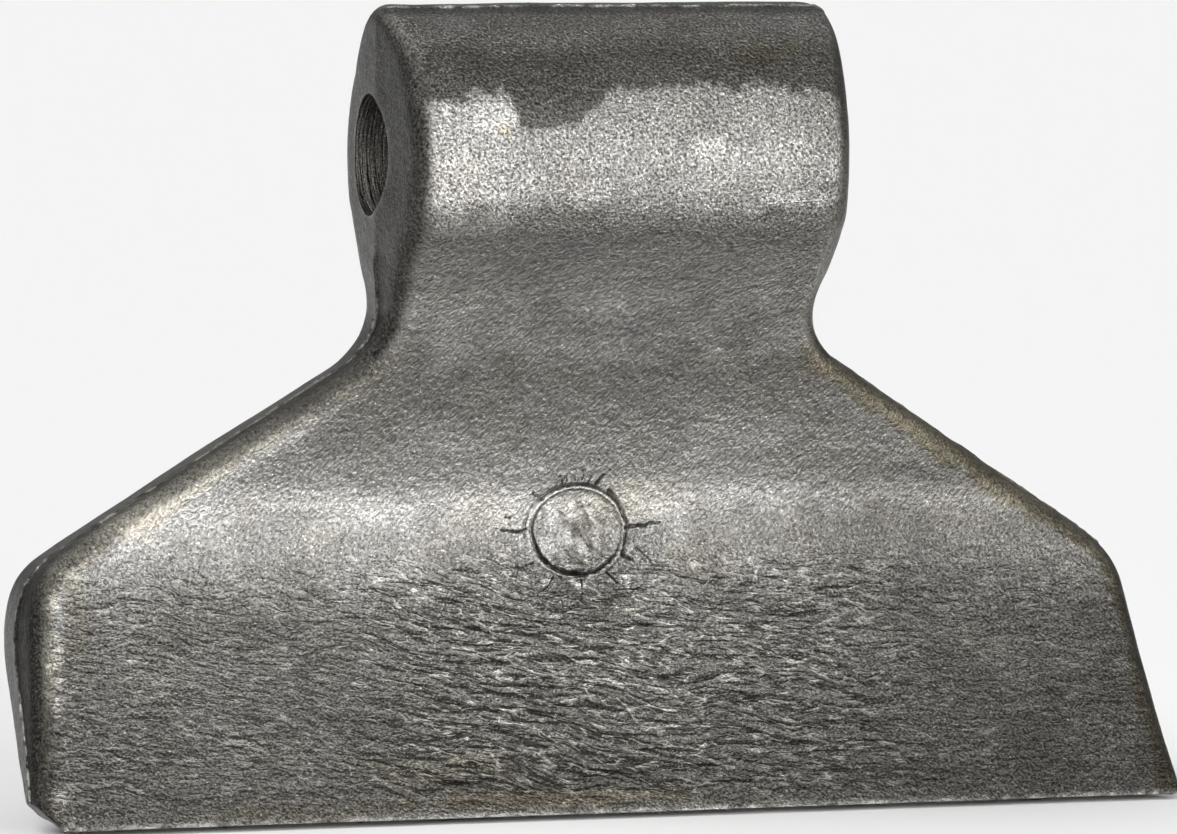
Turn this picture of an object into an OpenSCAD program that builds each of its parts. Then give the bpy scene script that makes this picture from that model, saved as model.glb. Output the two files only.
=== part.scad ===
// Drop-forged hammer flail: one solid piece with a cross barrel bored for its
// pivot bolt, a concave neck and a wide adze-shaped blade.
// Millimetres. X runs along the bore, Z is up, the front face looks to -Y and
// the origin is the middle of the bore axis.

/* [Barrel] */
// Diameter of the pivot bore
bore_d = 16.5; // [12:0.5:20]
// Outside diameter of the barrel
barrel_d = 40.5; // [38:0.5:43]
// Length of the barrel along the bore
barrel_len = 64; // [56:1:72]

/* [Blade] */
// Width of the blade at the cutting edge
blade_w = 162; // [140:1:180]
// Depth of the cutting edge below the bore axis
edge_drop = 88.7; // [88:0.1:90]

// Cut across the lower corner on the -X side
corner_cut = 3.4; // [2:0.2:6]

/* [Forging] */
// Draft of the sides, degrees either way from the parting line
draft = 5; // [3:0.5:7]
// Rounding of the barrel's front rims
front_round = 4.4; // [3:0.2:5]
// Rounding of the blade's front edges
blade_round = 2.8; // [2.6:0.2:4.4]
// Rounding of the back edges
back_round = 4; // [3:0.2:5]
// Height of the trimmed flash left along the parting line
flash = 0.3; // [0.1:0.1:0.5]
// Diameter of the ejector mark on the front face
mark_d = 13.4; // [10:0.2:16]
// Depth of the crease around the ejector mark
mark_depth = 0.35; // [0.2:0.05:0.6]

/* [Hidden] */

R = barrel_d / 2;
join_z = -8;              // the barrel's circle hands over to the neck here
part_y = -4;              // parting plane at the barrel, ahead of the bore axis
top_round = 2.2;          // rounding where the parting line crosses the barrel rim
barrel_back_round = 8.5;  // wide rounding of the barrel's back rims
edge_round = 0.6;         // corner rounding at the cutting edge

// Curves down the body: [z, value], smoothed between the rows.
half_width = [[21, 32], [0, 32], [-12, 32], [-16, 31.5], [-19, 30.8], [-22, 30.7],
    [-25, 31.6], [-28, 34.1], [-31, 38.7], [-34, 43.4], [-40, 52.8], [-46, 62.1],
    [-50, 68.4], [-53, 72.9], [-55, 75.5], [-57, 77.2], [-59, 78.2], [-62, 78.9],
    [-66, 79.4], [-72, 79.9], [-78, 80.4], [-84, 81], [-87, 81.1], [-90, 80.8]];
parting = [[21, part_y], [-8, part_y], [-12, -3.6], [-16, -2.4], [-20, -0.8],
    [-24, 0.6], [-28, 1.9], [-34, 3.6], [-40, 4.9], [-46, 5.9], [-52, 6.6],
    [-58, 7], [-62, 6.8], [-66, 5.4], [-70, 2.8], [-76, -2.2], [-82, -6.9],
    [-90, -12.2]];
front = [[join_z, -sqrt(R * R - join_z * join_z)], [-12, -15.5], [-16, -11.6],
    [-20, -7.9], [-24, -5.2], [-28, -3.3], [-34, -1.1], [-40, 0.7], [-46, 1.9],
    [-50, 2.2], [-54, 1.9], [-58, 0.9], [-62, -0.6], [-66, -2.4], [-72, -5.3],
    [-78, -8.4], [-84, -11.6], [-90, -14.9]];
back = [[join_z, sqrt(R * R - join_z * join_z)], [-12, 15.4], [-16, 13.3],
    [-20, 12.6], [-24, 12.7], [-28, 13.2], [-34, 14.3], [-40, 15.8], [-46, 17.3],
    [-52, 18.6], [-58, 19.5], [-62, 19.8], [-66, 19.2], [-70, 17], [-76, 11],
    [-82, 3.4], [-86, -2.4], [-90, -8.6]];

// Smooth curve through a table: value and fall per millimetre downwards.
function gap(t, i) = t[i][0] - t[i + 1][0];
function sec(t, i) = (t[i + 1][1] - t[i][1]) / gap(t, i);
function slope(t, i) = i == 0 ? sec(t, 0)
    : i == len(t) - 1 ? sec(t, len(t) - 2)
    : (sec(t, i - 1) * gap(t, i) + sec(t, i) * gap(t, i - 1)) / (gap(t, i) + gap(t, i - 1));
function row(t, z, i = 0) = i >= len(t) - 2 || z > t[i + 1][0] ? i : row(t, z, i + 1);
function hold(t, z) = max(min(z, t[0][0]), t[len(t) - 1][0]);
function value(t, z) = let(q = hold(t, z), i = row(t, q), h = gap(t, i), u = (t[i][0] - q) / h)
    (2 * u^3 - 3 * u^2 + 1) * t[i][1] + (u^3 - 2 * u^2 + u) * h * slope(t, i)
    + (3 * u^2 - 2 * u^3) * t[i + 1][1] + (u^3 - u^2) * h * slope(t, i + 1);
function fall(t, z) = let(q = hold(t, z), i = row(t, q), h = gap(t, i), u = (t[i][0] - q) / h)
    (6 * u^2 - 6 * u) * (t[i][1] - t[i + 1][1]) / h
    + (3 * u^2 - 4 * u + 1) * slope(t, i) + (3 * u^2 - 2 * u) * slope(t, i + 1);
function ease(t) = let(u = max(0, min(1, t))) u * u * (3 - 2 * u);

// Side surface: half width at a height, and the drafted side at any (y, z).
spread = (blade_w - barrel_len) / (162 - 64);
function width(z) = barrel_len / 2 + (value(half_width, z) - 32) * spread;
function lean(z) = max(0.5, 1 / sqrt(1 + (fall(half_width, z) * spread)^2));
function back_draft(z) = draft - 2 * (1 - max(0, min(1, (-z - 10) / 12)));
function side_x(y, z) = let(d = y - value(parting, z))
    width(z) - abs(d) * tan(d < 0 ? draft : back_draft(z)) / lean(z);

// Stations down the front (s = -1) or the back (s = 1): each is
// [y, z, normal y, normal z, rounding].
start = asin(-part_y / R);
finish = acos(join_z / R);
edge = [-11.3, -edge_drop];
arc_steps = [for (i = [0:21]) i == 0 ? 0 : i == 1 ? 0.03 : (i - 1) / 20];
neck_steps = [for (i = [1:34]) i / 34];
edge_steps = [1/6, 2/6, 3/6, 4/6, 5/6, 0.93, 1];
function bez(a, b, c, d, t) = (1 - t)^3 * a + 3 * t * (1 - t)^2 * b + 3 * t^2 * (1 - t) * c + t^3 * d;
function bezd(a, b, c, d, t) = 3 * (1 - t)^2 * (b - a) + 6 * t * (1 - t) * (c - b) + 3 * t^2 * (d - c);
function stations(s) = let(
    a0 = s < 0 ? start : -start,
    t = s < 0 ? front : back,
    zb = s < 0 ? -88 : -84.6,
    full = s < 0 ? blade_round : back_round,
    rim = s < 0 ? front_round : barrel_back_round,
    low = s < 0 ? 0.8 : 2.6,
    low_z = s < 0 ? 80 : 74,
    low_run = s < 0 ? 8 : 12,
    p0 = [value(t, zb), zb],
    f = fall(t, zb),
    p1 = p0 + [f, -1] / norm([f, -1]) * (s < 0 ? 0.35 : 3),
    p2 = edge + [s < 0 ? -1.3 : 5, 0])
    concat(
        [for (u = arc_steps) let(a = a0 + (finish - a0) * u)
            [s * R * sin(a), R * cos(a), s * sin(a), cos(a),
             top_round + (rim - top_round) * ease((a - a0) / 60)]],
        [for (u = neck_steps) let(z = join_z + (zb - join_z) * u, g = fall(t, z), m = norm([1, g]))
            [value(t, z), z, s / m, s * g / m,
             rim + (full - rim) * ease((-z - 8) / 22) + (low - full) * ease((-z - low_z) / low_run)]],
        [for (u = edge_steps) let(p = bez(p0, p1, p2, edge, u), d = bezd(p0, p1, p2, edge, u), m = norm(d))
            [p[0], p[1], -s * d[1] / m, s * d[0] / m, low + (edge_round - low) * u]]);

// Rounded edge at a station, from the side (b = 90) to the face (b = 0).
NF = 6;
function edge_point(p, b, out) = let(
    y = p[0] - p[2] * p[4] * (1 - cos(b)),
    z = p[1] - p[3] * p[4] * (1 - cos(b)))
    [side_x(y, z) - p[4] * (1 - sin(b)) / lean(z), y + p[2] * out, z + p[3] * out];
function rounding(p, out) = [for (j = [0:NF]) edge_point(p, 90 - 90 * j / NF, out)];

fs = stations(-1);
bs = stations(1);
N = len(fs);
function lift(i) = i == 0 || i == N - 1 ? flash : 0;
front_edge = [for (i = [0:N - 1]) rounding(fs[i], lift(i))];
back_edge = [for (i = [0:N - 1]) rounding(bs[i], lift(i))];

// Parting line between the two rounded edges, with its flash.
function part_point(i) = let(
    z = (front_edge[i][0][2] + back_edge[i][0][2]) / 2,
    ridge = flash * (0.15 + 0.85 * ease((-z - 20) / 8)))
    [width(z) + ridge / lean(z), value(parting, z), z];
line = [for (i = [0:N - 1]) part_point(i)];
function beside(p, q) = let(
    d = norm([q[1] - p[1], q[2] - p[2]]),
    f = min(0.8 / d, 0.5),
    y = p[1] + (q[1] - p[1]) * f,
    z = p[2] + (q[2] - p[2]) * f) [side_x(y, z), y, z];
function flip(p) = [-p[0], p[1], p[2]];
function half_row(i, e) = concat([line[i], beside(line[i], e[0])], e);
function full_row(i, e) = let(h = half_row(i, e), n = len(h))
    concat(h, [for (j = [n - 1:-1:0]) flip(h[j])]);
function end_row(e) = concat(e, [for (j = [NF:-1:0]) flip(e[j])]);

K = 2 * (NF + 3);
points = concat(
    end_row(front_edge[0]),
    [for (i = [1:N - 2]) each concat(full_row(i, front_edge[i]),
        let(b = full_row(i, back_edge[i])) [for (k = [1:K - 2]) b[k]])],
    end_row(front_edge[N - 1]));
function held(k) = max(2, min(K - 3, k)) - 2;
function fv(i, k) = i == 0 ? held(k)
    : i == N - 1 ? (K - 4) + (N - 2) * (2 * K - 2) + held(k)
    : (K - 4) + (i - 1) * (2 * K - 2) + k;
function bv(i, k) = i == 0 || i == N - 1 || k == 0 || k == K - 1 ? fv(i, k)
    : (K - 4) + (i - 1) * (2 * K - 2) + K + k - 1;
function tri(a, b, c) = a == b || b == c || a == c ? [] : [[a, b, c]];
faces = [for (i = [0:N - 2]) for (k = [0:K - 2]) each concat(
    tri(fv(i, k), fv(i + 1, k + 1), fv(i, k + 1)),
    tri(fv(i, k), fv(i + 1, k), fv(i + 1, k + 1)),
    tri(bv(i, k), bv(i + 1, k + 1), bv(i + 1, k)),
    tri(bv(i, k), bv(i, k + 1), bv(i + 1, k + 1)))];

module forging() {
    polyhedron(points = points, faces = faces, convexity = 6);
}

// Pivot bore through the barrel.
module bore() {
    rotate([0, 90, 0]) cylinder(d = bore_d, h = barrel_len + 20, center = true, $fn = 96);
}

// Slanting cut across one lower corner of the blade.
module corner() {
    translate([-blade_w / 2, 0, -edge_drop]) rotate([0, 45, 0])
        cube([16, 60, corner_cut * sqrt(2)], center = true);
}

// Thin crease of even depth around the ejector mark: a tube kept only where it
// lies ahead of a sheet that follows the front face.
module mark_crease() {
    difference() {
        translate([-1.7, 0, -51.8]) rotate([90, 0, 0]) difference() {
            cylinder(d = mark_d, h = 16, center = true, $fn = 64);
            cylinder(d = mark_d - 1.2, h = 18, center = true, $fn = 64);
        }
        rotate([90, 0, 90]) linear_extrude(height = mark_d + 10, center = true)
            polygon(concat([for (z = [-42:-2:-62]) [value(front, z) + mark_depth, z]],
                [[30, -62], [30, -42]]));
    }
}

module hammer_flail() {
    color([0.42, 0.41, 0.39])
    difference() {
        forging();
        bore();
        corner();
        mark_crease();
    }
}

hammer_flail();
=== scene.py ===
import bpy, math
import numpy as np
from mathutils import Matrix, Vector

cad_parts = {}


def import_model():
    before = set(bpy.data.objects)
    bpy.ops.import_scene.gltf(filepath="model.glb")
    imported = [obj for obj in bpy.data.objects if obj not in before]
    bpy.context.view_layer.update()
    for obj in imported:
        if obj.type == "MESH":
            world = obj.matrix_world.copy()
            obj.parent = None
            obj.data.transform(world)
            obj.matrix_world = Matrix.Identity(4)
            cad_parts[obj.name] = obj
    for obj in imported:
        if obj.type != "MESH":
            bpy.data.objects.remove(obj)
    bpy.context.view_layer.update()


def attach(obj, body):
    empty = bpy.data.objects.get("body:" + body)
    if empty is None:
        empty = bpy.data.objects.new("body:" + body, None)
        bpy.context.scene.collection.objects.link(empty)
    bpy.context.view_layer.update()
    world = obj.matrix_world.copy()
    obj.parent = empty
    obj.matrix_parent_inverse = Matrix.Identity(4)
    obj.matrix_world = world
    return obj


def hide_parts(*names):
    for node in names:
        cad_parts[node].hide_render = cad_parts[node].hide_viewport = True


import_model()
MM = 0.001

# ---------------------------------------------------------------- helpers
def herm(t, z, der=False):
    t = np.asarray(t, float); x = -t[:, 0]; v = t[:, 1]
    h = np.diff(x); s = np.diff(v) / h
    m = np.empty(len(x)); m[0] = s[0]; m[-1] = s[-1]
    m[1:-1] = (s[:-1] * h[1:] + s[1:] * h[:-1]) / (h[1:] + h[:-1])
    q = np.clip(-np.asarray(z, float), x[0], x[-1])
    i = np.clip(np.searchsorted(x, q, side="right") - 1, 0, len(h) - 1)
    u = (q - x[i]) / h[i]
    if der:
        return -(((6*u*u - 6*u)*v[i] + (-6*u*u + 6*u)*v[i+1]) / h[i]
                 + (3*u*u - 4*u + 1)*m[i] + (3*u*u - 2*u)*m[i+1])
    return ((2*u**3 - 3*u**2 + 1)*v[i] + (u**3 - 2*u**2 + u)*h[i]*m[i]
            + (-2*u**3 + 3*u**2)*v[i+1] + (u**3 - u**2)*h[i]*m[i+1])

def ease(t):
    t = np.clip(t, 0, 1); return t*t*(3 - 2*t)

def band(x, lo, hi, soft):
    return ease((x - lo)/soft + 0.5) * ease((hi - x)/soft + 0.5)

def _hash(ix, iy, iz, seed):
    h = (ix*374761393 + iy*668265263 + iz*1103515245 + seed*974634777) & 0xffffffff
    h = ((h ^ (h >> 13)) * 1274126177) & 0xffffffff
    h = ((h ^ (h >> 16)) * 1911520717) & 0xffffffff
    return ((h ^ (h >> 15)) & 0xffffff) / float(0xffffff) * 2 - 1

def noise(x, y, z, seed=0):
    x, y, z = np.broadcast_arrays(np.asarray(x, float), np.asarray(y, float), np.asarray(z, float))
    ix, iy, iz = (np.floor(a).astype(np.int64) for a in (x, y, z))
    fx, fy, fz = x - ix, y - iy, z - iz
    fx, fy, fz = (a**3*(a*(a*6 - 15) + 10) for a in (fx, fy, fz))
    out = 0
    for dx in (0, 1):
        for dy in (0, 1):
            for dz in (0, 1):
                w = (fx if dx else 1 - fx)*(fy if dy else 1 - fy)*(fz if dz else 1 - fz)
                out = out + w*_hash(ix + dx, iy + dy, iz + dz, seed)
    return out

# ---------------------------------------------------------------- the forging's curves, mm, as in the CAD
R, Y0, EDGE_Z = 20.25, -4.0, -88.7
HALF_W = [[21,32],[0,32],[-12,32],[-16,31.5],[-19,30.8],[-22,30.7],[-25,31.6],[-28,34.1],[-31,38.7],[-34,43.4],
          [-40,52.8],[-46,62.1],[-50,68.4],[-53,72.9],[-55,75.5],[-57,77.2],[-59,78.2],[-62,78.9],[-66,79.4],
          [-72,79.9],[-78,80.4],[-84,81],[-87,81.1],[-90,80.8]]
PART_Y = [[21,-4],[-8,-4],[-12,-3.6],[-16,-2.4],[-20,-0.8],[-24,0.6],[-28,1.9],[-34,3.6],[-40,4.9],[-46,5.9],
          [-52,6.6],[-58,7],[-62,6.8],[-66,5.4],[-70,2.8],[-76,-2.2],[-82,-6.9],[-90,-12.2]]
J = math.sqrt(R*R - 64)
FRONT = [[-8,-J],[-9.5,-17.9],[-12,-15.5],[-16,-11.6],[-20,-7.9],[-24,-5.2],[-28,-3.3],[-34,-1.1],[-40,0.7],[-46,1.9],
         [-50,2.2],[-54,1.9],[-58,0.9],[-62,-0.6],[-66,-2.4],[-72,-5.3],[-78,-8.4],[-84,-11.6],[-90,-14.9]]
BACK = [[-8,J],[-9.5,17.85],[-12,15.4],[-16,13.3],[-20,12.6],[-24,12.7],[-28,13.2],[-34,14.3],[-40,15.8],[-46,17.3],[-52,18.6],
        [-58,19.5],[-62,19.8],[-66,19.2],[-70,17],[-76,11],[-82,3.4],[-86,-2.4],[-90,-8.6]]
FR, FB, BR, BRIM, TR, ER = 4.4, 2.8, 4.0, 8.5, 2.2, 0.6
E = np.array([-11.3, EDGE_Z])
TH0, TH1 = math.asin(-Y0/R), math.acos(-8/R)

def width(z): return herm(HALF_W, z)
def lean(z): return np.maximum(1/np.sqrt(1 + herm(HALF_W, z, True)**2), 0.5)
def back_draft(z): return np.radians(3 + 2*np.clip((-np.asarray(z, float) - 10)/12, 0, 1))
def side_x(y, z, s):
    d = np.tan(np.radians(5.0)) if s < 0 else np.tan(back_draft(z))
    return width(z) - np.abs(y - herm(PART_Y, z))*d/lean(z)

def stations(s, ta, tb, tc):
    t0 = TH0 if s < 0 else -TH0
    th = t0 + (TH1 - t0)*ta
    A = np.stack([s*R*np.sin(th), R*np.cos(th)], -1); NA = np.stack([s*np.sin(th), np.cos(th)], -1)
    full, rim = (FB, FR) if s < 0 else (BR, BRIM)
    rA = TR + (rim - TR)*ease(np.abs(th - t0)/np.radians(60))
    T, zb = (FRONT, -88.4) if s < 0 else (BACK, -84.6)
    z = -8 + (zb + 8)*tb
    y = herm(T, z); d = herm(T, z, True)
    B = np.stack([y, z], -1); NB = np.stack([np.full(len(z), s*1.0), -s*d], -1)
    NB /= np.linalg.norm(NB, axis=1)[:, None]
    # the rounding turns gently from the barrel's radius to the neck's normal, so its rows never cross
    k = ease((-z - 8)/9)[:, None]
    NR = NA[-1]*(1 - k) + NB*k; NR /= np.linalg.norm(NR, axis=1)[:, None]
    low, lz, lw = (0.8, 80, 8) if s < 0 else (2.6, 74, 12)
    rB = rim + (full - rim)*ease((-z - 8)/22) + (low - full)*ease((-z - lz)/lw)
    p0 = np.array([herm(T, [zb])[0], zb]); dd = herm(T, [zb], True)[0]
    tan = np.array([-dd, -1.0]); tan /= np.linalg.norm(tan)
    h0, h1 = (0.12, 1.9) if s < 0 else (3.0, 5.0)
    p1, p2 = p0 + tan*h0, E + np.array([s*h1, 0.0])
    t = tc[:, None]
    C = (1-t)**3*p0 + 3*t*(1-t)**2*p1 + 3*t*t*(1-t)*p2 + t**3*E
    dC = 3*(1-t)**2*(p1-p0) + 6*t*(1-t)*(p2-p1) + 3*t*t*(E-p2)
    NC = np.stack([-s*dC[:, 1], s*dC[:, 0]], -1); NC /= np.linalg.norm(NC, axis=1)[:, None]
    rC = low + (ER - low)*tc
    return np.concatenate([A, B, C]), np.concatenate([NA, NR, NC]), np.concatenate([rA, rB, rC])

# rows down the body, close together at the ejector mark
def spaced(lo, hi, dense_lo, dense_hi, coarse, fine):
    out = [lo]
    while out[-1] < hi - 1e-9:
        x = out[-1]
        a = max(0.0, max(dense_lo - x, x - dense_hi))
        out.append(x + min(coarse, fine + a*0.35))
    out = np.array(out); return lo + (out - lo)*(hi - lo)/(out[-1] - lo)

arc = np.concatenate([[0, 0.25, 0.5, 0.8, 1.2], np.linspace(1.7, 36.0, 58)])/36.0
zrow = spaced(0.0, 1.0, (45.2 - 8)/80, (59.6 - 8)/80, 0.72/80, 0.17/80)[1:]
close = np.array([0.12, 0.25, 0.38, 0.5, 0.62, 0.72, 0.8, 0.87, 0.92, 0.96, 0.985, 1.0])
cols_f = spaced(-1.0, 1.0, -0.155, 0.105, 1.05/80, 0.17/66)
cols_b = np.linspace(-1, 1, 53)
NF, NS = 8, 7

def surface(s, cols):
    F, N, r = stations(s, arc, zrow, close)
    b = np.linspace(np.pi/2, 0, NF + 1)
    q = [F - N*(r*(1 - math.cos(bb)))[:, None] for bb in b]
    fx = [side_x(p[:, 0], p[:, 1], s) - r*(1 - math.sin(bb))/lean(p[:, 1]) for p, bb in zip(q, b)]
    return F, N, q, fx

Ff, Nf, qf, xf = surface(-1, cols_f)
Fb, Nb, qb, xb = surface(1, cols_b)
n = len(Ff)
zP = (qf[0][:, 1] + qb[0][:, 1])/2
yP = herm(PART_Y, zP)

def grid(s, F, q, fx, cols):
    """rows n, columns: right parting line -> face -> left parting line. Returns points and a side weight."""
    half, kind = [], []
    for k in range(NS):                    # side strip, parting line to the rounding
        f = k/NS
        y = yP + (q[0][:, 0] - yP)*f; z = zP + (q[0][:, 1] - zP)*f
        half.append(np.stack([side_x(y, z, s), y, z], -1)); kind.append(np.full(n, 1.0))
    for j in range(NF):                    # rounding
        half.append(np.stack([fx[j], q[j][:, 0], q[j][:, 1]], -1)); kind.append(np.full(n, 1 - j/NF))
    half = np.array(half)
    e = fx[NF]
    face = np.stack([np.stack([-c*e, F[:, 0], F[:, 1]], -1) for c in cols])
    G = np.concatenate([half, face, half[::-1]*np.array([-1, 1, 1.0])])
    K = np.concatenate([np.array(kind), np.zeros((len(cols), n)), np.array(kind)[::-1]])
    return G, K

Gf, Kf = grid(-1, Ff, qf, xf, cols_f)
Gb, Kb = grid(1, Fb, qb, xb, cols_b)
H = NS + NF                                 # columns in one half's side and rounding

# vertices: one shared loop along the parting line, top line and cutting edge
verts, kinds, sides = [], [], []
def add(P, k, s):
    i0 = len(verts)
    verts.extend(P); kinds.extend(k); sides.extend([s]*len(P))
    return np.arange(i0, i0 + len(P))
Mf, Mb = len(Gf), len(Gb)
idf = np.zeros((Mf, n), int); idb = np.zeros((Mb, n), int)
for i in range(n):
    end = i in (0, n - 1)
    if end:
        a = add(Gf[NS:Mf - NS, i], Kf[NS:Mf - NS, i], 0)
        idf[NS:Mf - NS, i] = a; idf[:NS, i] = a[0]; idf[Mf - NS:, i] = a[-1]
    else:
        idf[:, i] = add(Gf[:, i], Kf[:, i], -1)
        a = add(Gb[1:-1, i], Kb[1:-1, i], 1)
        idb[1:-1, i] = a; idb[0, i] = idf[0, i]; idb[-1, i] = idf[-1, i]
V = np.array(verts); kinds = np.array(kinds); sides = np.array(sides)
tris = []
def quads(ids, i0, i1, flip):
    a = ids[:-1, i0:i1]; b = ids[1:, i0:i1]; c = ids[1:, i0 + 1:i1 + 1]; d = ids[:-1, i0 + 1:i1 + 1]
    if flip: a, b, c, d = a, d, c, b
    for t in ((a, b, c), (a, c, d)):
        t = np.stack([x.ravel() for x in t], -1)
        ok = (t[:, 0] != t[:, 1]) & (t[:, 1] != t[:, 2]) & (t[:, 0] != t[:, 2])
        tris.append(t[ok])
quads(idf, 0, n - 1, False)
quads(idb, 1, n - 2, True)
def zipper(A, B, flip):
    """triangles between two rows of different counts, both running right to left"""
    out = []; i = j = 0
    xa = V[A][:, 0]; xb_ = V[B][:, 0]
    while i < len(A) - 1 or j < len(B) - 1:
        if j == len(B) - 1 or (i < len(A) - 1 and xa[i + 1] >= xb_[j + 1]):
            t = (A[i], A[i + 1], B[j]); i += 1
        else:
            t = (A[i], B[j + 1], B[j]); j += 1
        out.append(t if not flip else t[::-1])
    tris.append(np.array(out))
zipper(idf[NS:Mf - NS, 0], idb[:, 1], True)
zipper(idf[NS:Mf - NS, n - 1], idb[:, n - 2], False)
T = np.concatenate(tris)

# ---------------------------------------------------------------- relief, mm along the surface normal
def vertex_normals(V, T):
    a, b, c = V[T[:, 0]], V[T[:, 1]], V[T[:, 2]]
    f = np.cross(b - a, c - a); N = np.zeros_like(V)
    for k in range(3): np.add.at(N, T[:, k], f)
    return N/np.maximum(np.linalg.norm(N, axis=1), 1e-12)[:, None]
VN = vertex_normals(V, T)
x, y, z = V.T
front = sides < 0
face = 1 - kinds
RING = (-1.7, -51.8)

def seg(px, pz, ax, az, bx, bz):
    """distance to a line piece and place along it"""
    dx, dz = bx - ax, bz - az
    t = np.clip(((px - ax)*dx + (pz - az)*dz)/(dx*dx + dz*dz), 0, 1)
    return np.hypot(px - ax - t*dx, pz - az - t*dz), t

d = np.zeros(len(V))
d += 0.09*noise(x/11, y/11, z/11, 1) + 0.05*noise(x/5.2, y/5.2, z/5.2, 2) + 0.022*noise(x/2.3, y/2.3, z/2.3, 3)
wm = np.where(front, face, 0)*band(z, -85.5, -56.5, 6)*band(x, -36, 44, 26)
warp = 0.9*noise(x/13, 3.3, z/9, 5)
tilt = np.where(x < 0, 0.28*x*band(z, -90, -64, 14), -0.05*x)
s_ = z + tilt + warp*1.6
r1 = np.abs(noise(x/5.2, 1.7, s_/1.8, 7)); r2 = np.abs(noise(x/3.4, 9.1, s_/1.2, 8))
d += wm*(0.08*(0.35 - r1) + 0.04*(0.3 - r2))
px, pz = x - RING[0], (z - RING[1])
ang = np.arctan2(pz/0.94, px/1.06)
rr = np.hypot(px/1.06, pz/0.94) + 0.12*noise(ang*1.3, 4.2, 0.5, 11)
on = np.where(front & (kinds < 0.01), 1.0, 0.0)
up = ease(np.sin(ang)*1.2 + 0.55); dn = ease(-np.sin(ang + 0.5)*1.2 + 0.5)
ring = 0.2*np.exp(-((rr - 6.45)/0.45)**2) - 0.12*up*np.exp(-((rr - 7.25)/0.4)**2) - 0.12*dn*np.exp(-((rr - 5.6)/0.4)**2)
patch = noise((px + 0.45*pz)/1.1, 3.3, (pz - 0.4*px)/2.6, 51)
ring += -0.05*(rr < 6.2) + 0.07*patch*(rr < 5.6)
d += on*ring
CRACKS = [((-6.9, 0.5), (-8.7, 0.15), (-11.4, 0.8), 1.5), ((-4.9, 4.6), (-5.9, 5.2), (-6.9, 6.1), 1.4),
          ((-1.9, 6.7), (-2.3, 7.6), (-2.6, 8.6), 0.8), ((2.7, 6.2), (3.7, 7.6), (5.6, 9.3), 1.4),
          ((7.0, 0.4), (9.0, 0.7), (12.2, 1.05), 1.8), ((7.2, -0.6), (6.6, -3.3), (8.0, -4.0), 2.3),
          ((-1.3, 6.9), (-1.35, 7.5), (-1.5, 8.1), 0.6), ((-0.2, 7.0), (-0.15, 7.5), (-0.3, 8.1), 0.55),
          ((0.8, 6.9), (0.9, 7.5), (1.1, 8.0), 0.6), ((1.8, 6.7), (2.0, 7.2), (2.2, 7.9), 0.5),
          ((4.6, 5.6), (5.9, 4.0), (6.9, 1.4), 2.0),
          ((-6.2, -4.0), (-7.4, -4.3), (-8.8, -5.2), 0.7), ((0.4, -6.6), (0.5, -8.0), (0.1, -9.4), 0.8),
          ((3.9, -5.6), (5.0, -6.4), (6.4, -7.6), 0.8), ((8.6, -2.2), (11.0, -4.6), (13.6, -5.6), 0.6),
          ((-3.6, -6.0), (-4.6, -7.4), (-6.3, -7.9), 0.7), ((-9.6, 1.4), (-10.6, 3.2), (-10.2, 5.6), 0.45),
          ((-9.2, 1.6), (-10.0, 3.4), (-9.6, 5.2), 0.4), ((2.4, 9.6), (4.0, 10.6), (5.4, 10.2), 0.45),
          ((0.6, 8.4), (2.2, 9.2), (3.4, 9.0), 0.4), ((-12.0, -5.6), (-9.4, -7.6), (-6.4, -8.6), 0.5),
          ((-5.0, -8.8), (-1.8, -9.8), (1.6, -9.6), 0.5), ((3.0, -9.2), (6.6, -8.8), (9.8, -6.8), 0.5)]
crk = np.where(front, band(np.hypot(px, pz*1.15), 7.0, 12.5, 3.0)*ease((2.5 - pz)/5), 0)
d += crk*0.16*(0.3 - np.abs(noise(x/1.7, 6.6, z/1.3, 23)))
# dents and dings
rng = np.random.RandomState(5)
for _ in range(46):
    i = rng.randint(len(V)); rad = rng.uniform(0.5, 1.6)
    dist = np.linalg.norm(V - V[i], axis=1)
    d -= rng.uniform(0.03, 0.1)*np.exp(-(dist/rad)**2)
V = V + VN*d[:, None]
# the trimmed flash: a torn, uneven ridge along the parting line, the barrel's top and the cutting edge
loop = np.zeros(len(V)); loop[idf[0]] = 1; loop[idf[-1]] = 1
on_side = (loop > 0) & (sides < 0) & (np.abs(V[:, 0]) > 20)
tear = 0.5 + 0.5*noise(x/1.9, y/1.9, z/1.9, 31) + 0.35*noise(x/0.6, y/0.6, z/0.6, 32)
amp = np.where(z > -14, 0.05, np.where(z > -60, 0.42, 0.28))
V[on_side, 0] += (np.sign(V[:, 0])*amp*(0.5 + tear))[on_side]
top = idf[NS:Mf - NS, 0]; bot = idf[NS:Mf - NS, n - 1]
V[top] += (np.array([0, -math.sin(TH0), math.cos(TH0)])[None]*(0.1 + 0.26*tear[top])[:, None])
V[bot, 2] -= (0.02 + 0.3*tear[bot]); V[bot, 1] -= 0.25*tear[bot]

# the slanting cut across the lower corner on the -X side
over = np.where((V[:, 0] < -70) & (V[:, 2] < -80), np.maximum(-166.3 - V[:, 0] - V[:, 2], 0), 0)
V[:, 0] += over/2; V[:, 2] += over/2

# ---------------------------------------------------------------- mesh and bore
def new_mesh(name, V, T, mm=True):
    me = bpy.data.meshes.new(name)
    me.from_pydata((V*MM if mm else V).tolist(), [], T.tolist())
    me.update(); ob = bpy.data.objects.new(name, me)
    bpy.context.scene.collection.objects.link(ob)
    return ob
body = new_mesh("forged_body", V, T)

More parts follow.
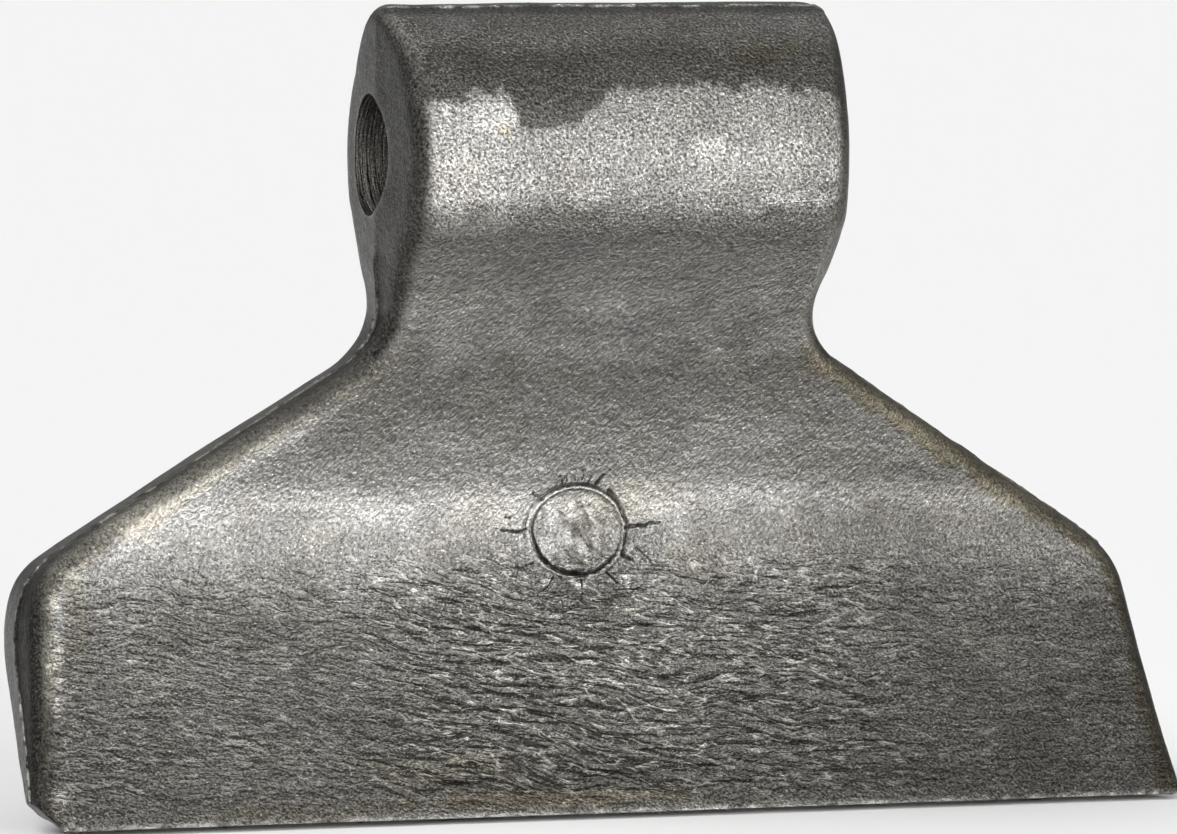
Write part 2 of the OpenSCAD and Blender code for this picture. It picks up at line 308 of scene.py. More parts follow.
def bore_cutter():
    xs = [-60.0, -36.0] + list(np.arange(-34.0, 34.01, 0.8)) + [36.0, 60.0]
    m = 120; P = []; F = []
    for xx in xs:
        edge_in = 32.0 - abs(xx)
        r = 8.25
        if 0 < edge_in < 30:
            r += 0.035*math.sin(xx*2*math.pi/2.6) + 0.03*float(noise(xx*1.7, 0.3, 0.1, 41))
        for k in range(m):
            a = 2*math.pi*k/m
            q = r + (0.012*float(noise(math.cos(a)*2, math.sin(a)*2, xx/6, 43)) if abs(xx) < 33 else 0)
            P.append((xx, q*math.cos(a), q*math.sin(a)))
    for i in range(len(xs) - 1):
        for k in range(m):
            a, b = i*m + k, i*m + (k + 1) % m
            F.append((a, b, b + m, a + m))
    F.append(tuple(range(m))[::-1]); F.append(tuple((len(xs) - 1)*m + k for k in range(m)))
    me = bpy.data.meshes.new("cutter"); me.from_pydata([tuple(c*MM for c in p) for p in P], [], F)
    me.update(); ob = bpy.data.objects.new("cutter", me); bpy.context.scene.collection.objects.link(ob)
    import bmesh
    bm = bmesh.new(); bm.from_mesh(me); bmesh.ops.recalc_face_normals(bm, faces=bm.faces); bm.to_mesh(me); bm.free()
    return ob
cut = bore_cutter()
mod = body.modifiers.new("bore", "BOOLEAN"); mod.operation = "DIFFERENCE"; mod.object = cut
mod.solver = "MANIFOLD"
dg = bpy.context.evaluated_depsgraph_get()
me2 = bpy.data.meshes.new_from_object(body.evaluated_get(dg))
body.modifiers.clear(); old = body.data; body.data = me2; bpy.data.meshes.remove(old)
me2.name = "forged_body"
bpy.data.objects.remove(cut, do_unlink=True)
print("mesh", len(me2.vertices), sum(len(p.vertices) - 2 for p in me2.polygons), "rows", n, "cols", len(cols_f))
me = body.data
me.shade_smooth()
me.set_sharp_from_angle(angle=math.radians(48))

# ---------------------------------------------------------------- material masks on the vertices
co = np.empty(len(me.vertices)*3); me.vertices.foreach_get("co", co)
P = co.reshape(-1, 3)/MM
no = np.empty(len(me.vertices)*3); me.vertex_normals.foreach_get("vector", no); NN = no.reshape(-1, 3)
x, y, z = P.T
rad = np.hypot(y, z)
inbore = ((rad < 8.45) & (np.abs(x) < 32.6)).astype(float)
isfront = (y < herm(PART_Y, z)).astype(float)
sidew = ease((np.abs(NN[:, 0]) - 0.35)/0.4)*(1 - inbore)
facew = (1 - sidew)*(1 - inbore)

def fbm(u, v, seed, octaves=3):
    return sum(noise(u*2**k, v*2**k, 0.37 + k, seed + k)*0.55**k for k in range(octaves))

# a running length down the outline, so grain keeps its size on the round of the barrel
def run_length(s, T):
    zz = np.linspace(-8, -90, 500); yy = herm(T, zz)
    L = np.concatenate([[0], np.cumsum(np.hypot(np.diff(yy), np.diff(zz)))])
    return lambda q: np.interp(-q, -zz, L)
Lf, Lb = run_length(-1, FRONT), run_length(1, BACK)
theta = np.arctan2(-y, z)
barrel = (z > -8) | (rad < R*0.98)*(z > -14)
s_run = np.where(barrel, R*np.abs(theta), np.where(isfront > 0, R*(math.pi - math.acos(8/R)) + Lf(z), R*(math.pi - math.acos(8/R)) + Lb(z)))
depth = np.where(barrel, R - rad, np.where(isfront > 0, y - herm(FRONT, np.minimum(z, -8)), herm(BACK, np.minimum(z, -8)) - y))
uvw = np.stack([x, s_run, depth*1.1 + isfront*50], -1)

def fbm3(size, seed, octaves=3):
    return sum(noise(x/size*2**k, y/size*2**k, z/size*2**k + 0.4, seed + k)*0.55**k for k in range(octaves))
n1, n2, n3 = fbm3(9, 60), fbm3(3.2, 70), fbm3(1.2, 80, 2)
# barrel: a dark band of scale above and bright worn metal below it, with an uneven border; both are deepened into
# painted shade and painted highlight, and the very top is painted darker
top_edge = np.interp(x, [-32, -24.5, -23.5, -18.5, -17.3, -16.8, -7, -4, 0, 12, 24, 30], [8.2, 7.8, 8.6, 9.0, 8.0, 4.0, 5.4, 8.2, 9.0, 9.6, 8.6, 6.4])
q = z - top_edge + 0.9*n2 + 0.5*n3
scale_and_shade = ease(q/1.5 + 0.4)*ease((17.2 + 1.0*n1 - z)/4)
worn_and_highlight = ease(0.6 - q/1.5)*ease((z + 8.2 + 1.2*n2)/3.5)
barrel_tone_and_light = 1 + scale_and_shade*(-0.54) + worn_and_highlight*0.46 + 0.04*ease((z - 16)/2) - 0.5*ease((z - 18.6)/0.8)
# painted highlight and shade on the barrel's round: brightest across its middle, darker towards the neck
barrel_tone_and_light *= np.interp(z, [-14, -10, -7, -3, 0, 4, 9], [0.66, 0.66, 0.95, 1.18, 1.28, 1.08, 1.0])
# painted light from the left: the barrel's middle band is brighter towards the left end
barrel_tone_and_light *= 1 + np.interp(x, [-32, -27, -22, -15, 0, 32], [0.45, 0.78, 0.42, 0.06, 0.0, -0.04])*band(z, -6.5, 6.5, 5)
# the neck and blade: painted shade and painted highlight in bands down the height, and painted shade towards the right
zn = z + 1.2*n1 + 0.7*n2
blade_tone_and_light = np.interp(-zn, [8, 12, 15, 19, 22, 26, 30, 34, 38, 42, 45, 48, 51, 54, 57, 60, 63, 68, 76, 82, 84.5, 89],
                   [0.95, 1.42, 1.68, 1.9, 1.45, 1.18, 0.76, 0.92, 1.0, 1.08, 1.3, 2.1, 1.46, 1.26, 1.14, 0.96, 0.86, 0.84, 0.66, 0.66, 0.52, 0.66])
right_shade_x = np.interp(x, [-80, -60, -30, 0, 18, 34, 50, 80], [0.96, 0.98, 1.0, 1.0, 0.93, 0.78, 0.64, 0.6])
blade_tone_and_light *= 1 + (right_shade_x - 1)*band(z, -100, -42, 8)
# painted light from the left across the blade's middle: a little brighter on the left, darker on the right
blade_tone_and_light *= 1 + 0.08*band(z, -57, -38, 6)*ease((-x - 20)/30) - 0.24*band(z, -53, -43, 4)*ease((x - 20)/20)
t = ease((-z - 7)/4)
tone = barrel_tone_and_light*(1 - t) + blade_tone_and_light*t
tone = np.where(isfront > 0, tone, 0.92)
# the sides and end faces get a flat darker tone, painted shade; the bore a fixed tone
tone = tone*facew + 0.37*sidew + 0.85*inbore
tone *= 1 + 0.12*n1 + 0.10*n2

def blob(cx, cz, rx, rz, soft=0.35, rag=0.25, seed=90):
    dd = np.hypot((x - cx)/rx, (z - cz)/rz) + rag*fbm(x/2.6, z/2.6, seed)
    return ease((1 + soft/2 - dd)/soft)*facew*isfront
smooth = np.zeros(len(x))
for cx, cz, rx, rz, k, sm in [(-20.3, 6.0, 3.1, 2.2, 0.32, 0.8), (-22.5, -8.6, 6.4, 1.7, 0.28, 0.75), (9.6, 1.6, 2.4, 1.7, 0.3, 0.3),
                              (22.5, -5.6, 5.5, 0.9, 0.35, 0.2), (-24.0, -1.0, 4.0, 1.3, 0.2, 0.2), (-20.5, -4.8, 2.6, 0.9, 0.15, 0.6),
                              (-6.0, -4.5, 3.5, 1.6, 0.15, 0.2)]:
    m_ = blob(cx, cz, rx, rz); tone *= 1 + k*m_; smooth = np.maximum(smooth, sm*m_)
olive = np.zeros(len(x))
for cx, cz, rx, rz, k in [(18.5, 13.6, 3.0, 1.3, 0.8), (23.5, 14.4, 2.0, 1.0, 0.5), (-19.0, 4.0, 1.1, 0.45, 0.5), (29.5, 5.0, 0.9, 7.5, 0.9),
                          (-72.6, -62.5, 1.6, 5.0, 0.3), (-9, -86.3, 22.0, 1.2, 0.8), (8, -47.5, 9, 3.0, 0.12), (-24, -82.5, 12, 2.0, 0.35),
                          (14, -57.0, 5.0, 2.5, 0.08), (-44, -87.0, 18, 0.9, 0.4)]:
    m_ = blob(cx, cz, rx, rz, 0.8, 0.5); olive = np.maximum(olive, k*m_)
# brown skin along the rims and sides, stronger on the right-hand ones; the right-hand rims are also darkened as painted
# shade
inset = (width(z) - np.abs(x))*lean(z)
rim_skin_and_shade = ease((3.7 - inset + 0.8*n2)/0.9)*isfront*ease((-z - 24)/6)
olive = np.maximum(olive, rim_skin_and_shade*np.where(x > 0, 0.95, 0.25))
olive = np.maximum(olive, sidew*np.where(x > 0, 0.6, 0.1)*(0.6 + 0.6*n2))
# painted shade on the right-hand rims
tone *= 1 - rim_skin_and_shade*np.where(x > 0, 0.26, 0.0)
# a painted highlight along the left rim where the face turns over, and painted shade on the rounding beyond it
left_rim_highlight = np.exp(-((inset - 3.6 + 0.5*n2)/1.0)**2)*isfront*ease((-z - 30)/6)*(x < 0)
tone *= 1 + 1.15*left_rim_highlight*np.clip(0.75 + 0.6*n2 + 0.9*n3, 0, 2)
# painted shade on the outer part of the left rounding
tone *= 1 - 0.5*ease((2.6 - inset)/1.3)*isfront*ease((-z - 24)/6)*(x < 0)
tone *= 1 - 0.28*blob(-4, -83.0, 11.0, 1.9, 0.9, 0.4)
rust = np.exp(-((y + 3.6)/0.9)**2 - ((z + 12.0)/1.5)**2)*sidew*(x < 0)
rust = np.maximum(rust, 0.5*np.exp(-((y + 4.3)/0.7)**2 - ((z + 9.0)/1.3)**2)*sidew*(x < 0))
# bright lines along the barrel's top and the cutting edge: the torn flash, painted as a highlight
worn_and_glint = np.exp(-((y + 4.0)/0.32)**2)*ease((z - 18.6)/0.6)*np.clip(0.45 + 0.5*n2 + 0.8*n3, 0, 1)
worn_and_glint = np.maximum(worn_and_glint, np.exp(-((z + 88.45)/0.3)**2)*(0.62 + 0.45*n2 + 0.5*n3)*isfront)
seam_glint = np.exp(-((y - herm(PART_Y, z))/0.45)**2)*ease((sidew - 0.3)/0.4)*ease((-z - 18)/6)

def attr(name, val):
    a = me.attributes.new(name, "FLOAT", "POINT"); a.data.foreach_set("value", np.ascontiguousarray(val, dtype=np.float32))
wr_m = isfront*facew*band(z, -87, -55.5, 7)*(0.52 + 0.25*ease((20 - x)/40) + 0.34*band(x, -30, 40, 24))
attr("tone", np.clip(tone, 0.2, 2.2)); attr("olive", np.clip(olive, 0, 1)); attr("rust", rust)
attr("smooth", smooth); attr("wrinkle", wr_m); attr("seam_glint", np.clip(worn_and_glint, 0, 1)); attr("seam_d", y - herm(PART_Y, z)); attr("flank", sidew*ease((-z - 17)/5)*(1 - inbore)); attr("bore_m", inbore); attr("side_m", sidew)
attr("grain", facew*isfront*(1 - 0.55*wr_m) + 0.35*sidew + 0.6*facew*(1 - isfront))
attr("neck_m", isfront*facew*ease((-z - 6)/10)*ease((z + 60)/14))
ramp_x = np.interp(x, [-80, -34, -26, -6, 4, 60], [-13.0, -1.0, 1.6, 8.0, 10.4, 17.0])
flow_s = s_run - 0.65*ramp_x + 1.1*noise(x/9, 3.3, s_run/7, 5)
# the ejector mark: distance from its middle, on which side of the ring its groove and painted shadow line run, and the
# small cracks around it
px, pz = x - RING[0], z - RING[1]
ang = np.arctan2(pz/0.94, px/1.06)
near = (np.hypot(px, pz) < 18) & (isfront > 0)
disc = near*ease((5.7 - np.hypot(px/1.06, pz/0.94))/0.6)
patch = noise((px + 0.45*pz)/1.1, 3.3, (pz - 0.4*px)/2.6, 51) + 0.5*noise((px + 0.45*pz)/0.5, 3.3, (pz - 0.4*px)/1.4, 52)
me.attributes["tone"].data.foreach_set("value", np.ascontiguousarray(np.clip(tone*(1 + disc*(0.6*patch - 0.08)), 0.2, 2.2), dtype=np.float32))
rr = np.hypot(px/1.06, pz/0.94) + 0.12*noise(ang*1.3, 4.2, 0.5, 11) + 0.06*noise(px/0.7, 2.2, pz/0.7, 12) - 0.22*np.cos(ang)*ease(-np.sin(ang)*2 + 0.3)
upw = ease(np.sin(ang)*1.2 + 0.55)*(0.65 + 0.5*noise(ang*2.2, 0.4, 0.2, 14))
dnw = ease(-np.sin(ang + 0.5)*1.2 + 0.45)
jx = px + 0.2*noise(x/0.9, 5.5, z/0.9, 17); jz = pz + 0.2*noise(x/0.9, 8.5, z/0.9, 19)
cd = np.full(len(x), 9.0)
for c0, c1, c2, k in CRACKS:
    for q0, q1, w0, w1 in ((c0, c1, 1.0, 0.75), (c1, c2, 0.75, 0.35)):
        dist, tt = seg(jx, jz, *q0, *q1)
        cd = np.minimum(cd, dist/(0.16*k*(w0 + (w1 - w0)*tt)))
attr("ring_r", np.where(near, rr, 40.0)); attr("ring_up", upw*near); attr("ring_dn", dnw*near)
attr("crack", np.where(near, np.minimum(cd, 9), 9.0))
attr("crazed", near*band(np.hypot(px, pz*1.1), 7.2, 13.0, 3.0)*ease((3.5 - pz)/5))
def vec_attr(name, v):
    a = me.attributes.new(name, "FLOAT_VECTOR", "POINT"); a.data.foreach_set("vector", np.ascontiguousarray(v.ravel(), dtype=np.float32))
vec_attr("uvw", uvw); vec_attr("flow", np.stack([x, flow_s, depth], -1))

# ---------------------------------------------------------------- camera
def place_camera():
    az, el, roll, f_px, dist = math.radians(18.10), math.radians(4.14), math.radians(0.20), 8900.4, 1.2095
    F = Vector((math.sin(az)*math.cos(el), math.cos(az)*math.cos(el), -math.sin(el)))
    Rt = Vector((math.cos(az), -math.sin(az), 0)); U = Rt.cross(F)
    Rt, U = Rt*math.cos(roll) + U*math.sin(roll), U*math.cos(roll) - Rt*math.sin(roll)
    C = Vector((-0.00060*math.cos(az), 0.00060*math.sin(az), -0.03598)) - F*dist
    M = Matrix(((Rt.x, U.x, -F.x, C.x), (Rt.y, U.y, -F.y, C.y), (Rt.z, U.z, -F.z, C.z), (0, 0, 0, 1)))
    cd = bpy.data.cameras.new("camera"); cam = bpy.data.objects.new("camera", cd)
    bpy.context.scene.collection.objects.link(cam); cam.matrix_world = M
    cd.sensor_fit = "HORIZONTAL"; cd.sensor_width = 36.0; cd.lens = f_px*36.0/1177.0
    cd.clip_start = 0.01; cd.clip_end = 200
    bpy.context.scene.camera = cam
place_camera()

# ---------------------------------------------------------------- materials
class Nodes:
    def __init__(self, tree): self.t = tree
    def new(self, kind, **kw):
        nd = self.t.nodes.new(kind)
        for k, v in kw.items(): setattr(nd, k, v)
        return nd
    def put(self, sock, v):
        if isinstance(v, bpy.types.NodeSocket): self.t.links.new(v, sock)
        elif v is not None: sock.default_value = v
    def math(self, op, a, b=None, c=None, clamp=False):
        nd = self.new("ShaderNodeMath", operation=op, use_clamp=clamp)
        for s, v in zip(nd.inputs, (a, b, c)): self.put(s, v)
        return nd.outputs[0]
    def vmath(self, op, a, b=None):
        nd = self.new("ShaderNodeVectorMath", operation=op)
        self.put(nd.inputs[0], a)
        if b is not None: self.put(nd.inputs[1], b)
        return nd.outputs[0]
    def ramp(self, v, lo, hi, to_lo=0.0, to_hi=1.0, smooth=True):
        nd = self.new("ShaderNodeMapRange", interpolation_type="SMOOTHSTEP" if smooth else "LINEAR")
        nd.inputs["From Min"].default_value = lo; nd.inputs["From Max"].default_value = hi
        nd.inputs["To Min"].default_value = to_lo; nd.inputs["To Max"].default_value = to_hi
        self.put(nd.inputs["Value"], v); return nd.outputs["Result"]
    def noise(self, vec, scale, detail=2.0, rough=0.5, dist=0.0, w=None):
        nd = self.new("ShaderNodeTexNoise", noise_dimensions="3D")
        self.put(nd.inputs["Vector"], vec); nd.inputs["Scale"].default_value = scale
        nd.inputs["Detail"].default_value = detail; nd.inputs["Roughness"].default_value = rough
        nd.inputs["Distortion"].default_value = dist
        return nd.outputs["Fac"]
    def mapping(self, vec, scale=(1, 1, 1), rot=(0, 0, 0), loc=(0, 0, 0)):
        nd = self.new("ShaderNodeMapping")
        self.put(nd.inputs["Vector"], vec); nd.inputs["Scale"].default_value = scale
        nd.inputs["Rotation"].default_value = rot; nd.inputs["Location"].default_value = loc
        return nd.outputs["Vector"]
    def mixc(self, f, a, b, mode="MIX"):
        nd = self.new("ShaderNodeMix", data_type="RGBA", blend_type=mode)
        self.put(nd.inputs["Factor"], f); self.put(nd.inputs["A"], a); self.put(nd.inputs["B"], b)
        return nd.outputs["Result"]
    def mixf(self, f, a, b):
        nd = self.new("ShaderNodeMix", data_type="FLOAT")
        self.put(nd.inputs["Factor"], f); self.put(nd.inputs["A"], a); self.put(nd.inputs["B"], b)
        return nd.outputs["Result"]
    def attr(self, name, vec=False):
        nd = self.new("ShaderNodeAttribute", attribute_name=name)
        return nd.outputs["Vector" if vec else "Fac"]

def forged_steel():
    mat = bpy.data.materials.new("forged_steel"); mat.use_nodes = True
    t = mat.node_tree; t.nodes.clear(); g = Nodes(t)
    out = g.new("ShaderNodeOutputMaterial"); bs = g.new("ShaderNodeBsdfPrincipled")
    t.links.new(bs.outputs[0], out.inputs[0])
    bs.inputs["Metallic"].default_value = 1.0
    obj = g.new("ShaderNodeTexCoord").outputs["Object"]
    mm = g.mapping(obj, scale=(1000, 1000, 1000))
    tone, olive, rust, smooth, wrk, seam_glint, bore, grain, neck = (g.attr(k) for k in
        ("tone", "olive", "rust", "smooth", "wrinkle", "seam_glint", "bore_m", "grain", "neck_m"))
    uvw, flow = g.attr("uvw", True), g.attr("flow", True)
    ring_r, ring_up, ring_dn, crack, crazed = (g.attr(k) for k in ("ring_r", "ring_up", "ring_dn", "crack", "crazed"))
    def peak(v, c, w):
        q = g.math("DIVIDE", g.math("SUBTRACT", v, c), w)
        return g.math("EXPONENT", g.math("MULTIPLY", g.math("MULTIPLY", q, q), -1.0))
    cen = lambda v: g.math("SUBTRACT", v, 0.5)
    # grain, in millimetres of height
    skew = g.mapping(uvw, rot=(0, 0, math.radians(52)))
    diag = g.mapping(skew, scale=(0.62, 1.15, 1))
    side = g.attr("side_m")
    grit = g.noise(uvw, 2.5, 2.0, 0.65, 0.2)
    grit_d = g.noise(diag, 2.3, 2.0, 0.62, 0.25)
    grit = g.mixf(g.math("MULTIPLY", neck, 0.75), grit, grit_d)
    grit = g.mixf(side, grit, g.noise(mm, 2.5, 2.0, 0.65, 0.2))
    hatch = g.noise(g.mapping(g.mapping(uvw, rot=(0, 0, math.radians(-55))), scale=(0.5, 1.3, 1)), 2.2, 2.0, 0.6, 0.15)
    peb = g.mixf(side, g.noise(uvw, 0.85, 2.0, 0.5, 0.4), g.noise(mm, 0.85, 2.0, 0.5, 0.4))
    lump = g.mixf(side, g.noise(uvw, 0.2, 2.0, 0.5), g.noise(mm, 0.2, 2.0, 0.5))
    rough_skin = g.math("MULTIPLY", grain, g.math("SUBTRACT", 1.0, g.math("MULTIPLY", smooth, 0.8)))
    amp = g.math("MULTIPLY_ADD", rough_skin, 0.85, 0.15)
    h = g.math("MULTIPLY", g.math("MULTIPLY_ADD", cen(peb), 0.27, g.math("MULTIPLY", cen(grit), g.math("MULTIPLY_ADD", neck, -0.08, 0.37))), amp)
    h = g.math("MULTIPLY_ADD", cen(lump), 0.22, h)
    plain = g.math("MULTIPLY", g.math("MULTIPLY", g.math("SUBTRACT", 1.0, side), g.math("SUBTRACT", 1.0, wrk)), g.math("MULTIPLY_ADD", neck, -0.85, 1.0))
    h = g.math("MULTIPLY_ADD", g.math("MULTIPLY", cen(hatch), 0.2), g.math("MULTIPLY", plain, amp), h)
    # flow wrinkles across the blade
    lay = g.mapping(flow, scale=(0.27, 1.0, 1))
    w1 = g.noise(lay, 0.56, 1.5, 0.5, 0.5)
    w2 = g.noise(g.mapping(flow, scale=(0.32, 1.0, 1), loc=(7, 3, 0)), 1.05, 1.5, 0.5, 0.35)
    broken = g.ramp(g.noise(g.mapping(flow, scale=(0.5, 1.0, 1), loc=(3, 9, 0)), 0.8, 1.0, 0.5), 0.44, 0.60)
    rid1 = g.ramp(g.math("ABSOLUTE", cen(w1)), 0.0, 0.055, 1.0, 0.0)
    rid2 = g.ramp(g.math("ABSOLUTE", cen(w2)), 0.0, 0.06, 1.0, 0.0)
    glint = g.math("MULTIPLY", g.math("MAXIMUM", rid1, g.math("MULTIPLY", rid2, 0.8)), broken)
    sx = g.new("ShaderNodeSeparateXYZ"); g.put(sx.inputs[0], uvw)
    deep = g.math("MULTIPLY", g.ramp(sx.outputs[0], -42, -18), g.ramp(sx.outputs[0], 30, 58, 1.0, 0.45))
    glint = g.math("MULTIPLY", glint, g.math("MULTIPLY_ADD", deep, 0.5, 0.68))
    wh = g.math("MULTIPLY_ADD", cen(w2), 0.40, g.math("MULTIPLY", cen(w1), g.math("MULTIPLY_ADD", deep, 0.62, 0.36)))
    wh = g.math("MULTIPLY_ADD", glint, 0.11, wh)
    h = g.math("MULTIPLY_ADD", wh, wrk, h)
    # broken skin round the ejector mark; its ring and cracks are grooves with painted shade along them
    cz = g.noise(uvw, 0.6, 2.0, 0.55, 1.0)
    h = g.math("MULTIPLY_ADD", g.math("MULTIPLY", g.ramp(g.math("ABSOLUTE", cen(cz)), 0.0, 0.06, -1.0, 0.0), 0.08), crazed, h)
    # painted shadow along the ring's lip, outside it above and inside it below, and painted shade in the cracks
    line = g.math("MULTIPLY", peak(ring_r, 7.05, 0.17), ring_up)
    line = g.math("MAXIMUM", line, g.math("MULTIPLY", peak(ring_r, 5.85, 0.16), ring_dn))
    line = g.math("MAXIMUM", line, peak(crack, 0.0, 1.0))
    h = g.math("MULTIPLY_ADD", line, -0.30, h)
    h = g.math("MULTIPLY_ADD", peak(ring_r, 6.5, 0.28), 0.12, h)
    # scratches on the barrel: start and end as (x, run)
    sep = g.new("ShaderNodeSeparateXYZ"); g.put(sep.inputs[0], uvw); u, v = sep.outputs[0], sep.outputs[1]
    def scratch(ax, av, bx, bv, w):
        dx, dv = bx - ax, bv - av; L2 = dx*dx + dv*dv
        du, dw = g.math("SUBTRACT", u, ax), g.math("SUBTRACT", v, av)
        tt = g.math("DIVIDE", g.math("MULTIPLY_ADD", du, dx, g.math("MULTIPLY", dw, dv)), L2, clamp=True)
        eu = g.math("SUBTRACT", du, g.math("MULTIPLY", tt, dx)); ev = g.math("SUBTRACT", dw, g.math("MULTIPLY", tt, dv))
        dd = g.math("SQRT", g.math("MULTIPLY_ADD", eu, eu, g.math("MULTIPLY", ev, ev)))
        return peak(dd, 0.0, w)
    cuts = None
    for sc_ in ((-29.1, 20.6, -24.6, 27.4, 0.09), (-9.3, 21.7, -8.4, 24.4, 0.12), (15.0, 32.0, 11.3, 35.7, 0.14),
                (11.7, 36.2, 9.5, 38.9, 0.13), (-27.0, 25.0, -25.0, 26.0, 0.08), (17.0, 38.3, 27.0, 37.7, 0.11)):
        c_ = scratch(*sc_); cuts = c_ if cuts is None else g.math("MAXIMUM", cuts, c_)
    seamline = scratch(-17.0, 32.2, -10.8, 31.0, 0.12)
    front_only = g.math("MULTIPLY", g.ramp(sep.outputs[2], 20, 25), g.math("SUBTRACT", 1.0, side))
    ragged = g.ramp(g.noise(uvw, 1.1, 2.0, 0.6), 0.38, 0.56)
    cuts = g.math("MULTIPLY", g.math("MULTIPLY", cuts, ragged), front_only); seamline = g.math("MULTIPLY", seamline, front_only)
    h = g.math("MULTIPLY_ADD", cuts, 0.10, g.math("MULTIPLY_ADD", seamline, -0.06, h))
    # tool rings in the bore
    tool = g.noise(g.mapping(mm, scale=(1.0, 0.05, 0.05)), 1.4, 4.0, 0.65, 0.2)
    h = g.math("MULTIPLY_ADD", g.math("MULTIPLY", cen(tool), 0.34), bore, h)
    bump = g.new("ShaderNodeBump"); bump.inputs["Strength"].default_value = 1.0
    bump.inputs["Distance"].default_value = 0.001
    g.put(bump.inputs["Height"], h)
    t.links.new(bump.outputs[0], bs.inputs["Normal"])
    # colour: dark scale in the hollows, worn bright on the high spots, with painted sparkle glints, and painted glints
    # along the blade's wrinkle ridges
    hs = g.math("MULTIPLY", cen(grit), 0.30)
    wear_and_sparkle = g.ramp(hs, -0.05, 0.06, 0.0, 1.0)
    speck = g.mixf(side, g.noise(uvw, 2.1, 2.0, 0.7), g.noise(mm, 2.1, 2.0, 0.7))
    painted_sparkle = g.ramp(speck, 0.60, 0.70)
    wear_and_sparkle = g.math("MULTIPLY_ADD", painted_sparkle, g.math("MULTIPLY_ADD", rough_skin, 1.25, 0.2), wear_and_sparkle)
    wear_and_sparkle = g.math("MULTIPLY_ADD", g.math("MULTIPLY", g.ramp(hatch, 0.57, 0.68), 0.8), plain, wear_and_sparkle)
    wear_and_sparkle = g.mixf(neck, g.math("MULTIPLY_ADD", wear_and_sparkle, 1.18, 0.30), g.math("MULTIPLY_ADD", wear_and_sparkle, 0.70, 0.56))
    # the wrinkles: painted glints on the ridge lines over the worn high spots
    worn_and_glint = g.math("MULTIPLY_ADD", glint, 1.35, g.math("MULTIPLY_ADD", wear_and_sparkle, 0.58, g.math("MULTIPLY_ADD", deep, -0.07, 0.22)))
    wear_and_sparkle = g.mixf(wrk, wear_and_sparkle, worn_and_glint)
    amount = g.math("MULTIPLY", tone, wear_and_sparkle)
    # painted shadow along the ring and painted shade in the cracks
    amount = g.math("MULTIPLY", amount, g.math("MULTIPLY_ADD", line, -0.82, 1.0))
    amount = g.math("MULTIPLY", amount, g.math("MULTIPLY_ADD", seamline, -0.3, 1.0))
    # brighter scratches, and a painted highlight on the ring's raised lip
    amount = g.math("MULTIPLY", amount, g.math("MULTIPLY_ADD", g.math("MAXIMUM", g.math("MULTIPLY", cuts, 2.4), peak(ring_r, 6.5, 0.25)), 0.45, 1.0))
    blot = g.noise(mm, 0.11, 3.0, 0.6)
    warm = g.mixc(g.ramp(blot, 0.38, 0.66), (0.192, 0.189, 0.181, 1), (0.201, 0.194, 0.179, 1))
    warm = g.mixc(g.math("MULTIPLY", olive, 0.85), warm, (0.182, 0.146, 0.074, 1))
    cool = g.ramp(tone, 0.75, 1.35)
    warm = g.mixc(cool, g.mixc(0.5, warm, (0.188, 0.178, 0.156, 1)), warm)
    warm = g.mixc(rust, warm, (0.16, 0.062, 0.045, 1))
    # the torn flash at the top and the cutting edge, and a dashed bead on the parting line, get a pale colour, a
    # painted highlight
    dash = g.ramp(g.noise(mm, 0.8, 3.0, 0.6), 0.36, 0.60)
    bead_glint = g.math("MULTIPLY", g.math("MULTIPLY", peak(g.attr("seam_d"), -0.12, 0.17), g.attr("flank")), dash)
    seam_glint = g.math("MAXIMUM", seam_glint, g.math("MULTIPLY", bead_glint, 0.7))
    warm = g.mixc(g.math("MULTIPLY", seam_glint, 0.85), warm, (0.50, 0.49, 0.465, 1))
    amount = g.mixf(seam_glint, amount, 1.0)
    sc = g.new("ShaderNodeVectorMath", operation="SCALE")
    g.put(sc.inputs[0], warm); g.put(sc.inputs["Scale"], amount)
    g.put(bs.inputs["Base Color"], sc.outputs[0])
    rgh = g.ramp(g.noise(mm, 0.8, 4.0, 0.65), 0.3, 0.7, 0.33, 0.45)
    rgh = g.math("MULTIPLY_ADD", wrk, -0.08, rgh)
    g.put(bs.inputs["Roughness"], rgh)
    return mat

mat = forged_steel()
me.materials.clear(); me.materials.append(mat)
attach(body, "root"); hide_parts("hammer_flail")

# ---------------------------------------------------------------- floor, light
def floor():
    m = 96; Rf = 60.0
    P = [(0, 0, -0.0893)] + [(Rf*math.cos(2*math.pi*k/m), Rf*math.sin(2*math.pi*k/m), -0.0893) for k in range(m)]
    F = [(0, 1 + k, 1 + (k + 1) % m) for k in range(m)]
    me = bpy.data.meshes.new("floor"); me.from_pydata(P, [], F); me.update()
    ob = bpy.data.objects.new("floor", me); bpy.context.scene.collection.objects.link(ob)
    mat = bpy.data.materials.new("floor"); mat.use_nodes = True
    b = mat.node_tree.nodes["Principled BSDF"]
    b.inputs["Base Color"].default_value = (0.86, 0.86, 0.86, 1); b.inputs["Roughness"].default_value = 0.9
    b.inputs["Specular IOR Level"].default_value = 0.0
    me.materials.append(mat)
floor()

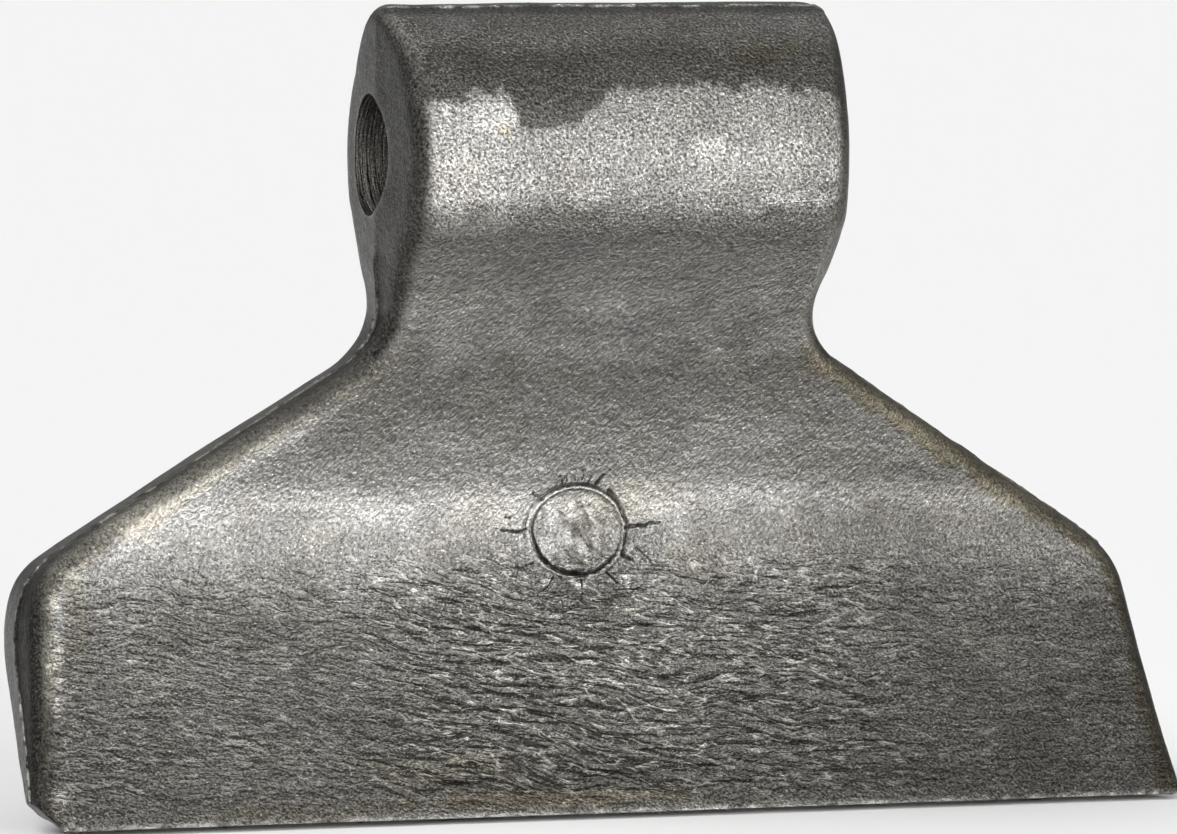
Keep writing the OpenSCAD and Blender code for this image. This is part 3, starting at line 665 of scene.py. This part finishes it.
def world():
    w = bpy.data.worlds.new("studio"); bpy.context.scene.world = w; w.use_nodes = True
    t = w.node_tree; t.nodes.clear(); g = Nodes(t)
    out = g.new("ShaderNodeOutputWorld"); bg = g.new("ShaderNodeBackground"); t.links.new(bg.outputs[0], out.inputs[0])
    dirn = g.new("ShaderNodeTexCoord").outputs["Generated"]
    sep = g.new("ShaderNodeSeparateXYZ"); g.put(sep.inputs[0], dirn)
    X, Y, Z = sep.outputs
    flat = g.math("SQRT", g.math("MULTIPLY_ADD", X, X, g.math("MULTIPLY", Y, Y)))
    ahead = g.math("DIVIDE", g.math("MULTIPLY_ADD", X, 0.17, g.math("MULTIPLY", Y, -0.985)), g.math("MAXIMUM", flat, 0.02))
    # a broad soft box in front of the object, from the floor up to about 30 degrees
    boxf = g.math("MULTIPLY", g.ramp(ahead, 0.55, 0.85), g.ramp(Z, 0.35, 0.62, 1.0, 0.0))
    # two high side lights, a dim strip overhead between them, a little light low down behind
    high = g.math("MULTIPLY", g.ramp(g.math("ABSOLUTE", g.math("SUBTRACT", X, 0.2)), 0.38, 0.62), g.ramp(Z, 0.45, 0.6))
    rear = g.math("MULTIPLY", g.ramp(ahead, -0.1, -0.6), g.ramp(Z, 0.75, 0.5))
    val = g.math("MULTIPLY_ADD", boxf, 3.0, 0.2)
    val = g.math("MULTIPLY_ADD", high, 2.8, val)
    val = g.math("MULTIPLY_ADD", rear, 0.1, val)
    g.put(bg.inputs["Strength"], val)
    bg.inputs["Color"].default_value = (1, 1, 1, 1)
world()

def softbox(az, dist, z0, w, h, radiance):
    """an upright soft box standing near the floor, facing the object"""
    ld = bpy.data.lights.new("softbox", "AREA"); ld.shape = "RECTANGLE"; ld.size = w; ld.size_y = h
    ld.energy = radiance*math.pi*w*h
    ob = bpy.data.objects.new("softbox", ld); bpy.context.scene.collection.objects.link(ob)
    a = math.radians(az)
    p = Vector((math.sin(a)*dist, -math.cos(a)*dist, z0 + h/2))
    zax = Vector((math.sin(a), -math.cos(a), 0))        # the light shines along its local -Z
    yax = Vector((0, 0, 1)); xax = yax.cross(zax)
    ob.matrix_world = Matrix(((xax.x, yax.x, zax.x, p.x), (xax.y, yax.y, zax.y, p.y), (xax.z, yax.z, zax.z, p.z), (0, 0, 0, 1)))
    ob.visible_camera = False
softbox(18, 0.40, -0.074, 0.36, 0.136, 4.3)
bpy.context.scene.view_settings.view_transform = "Standard"
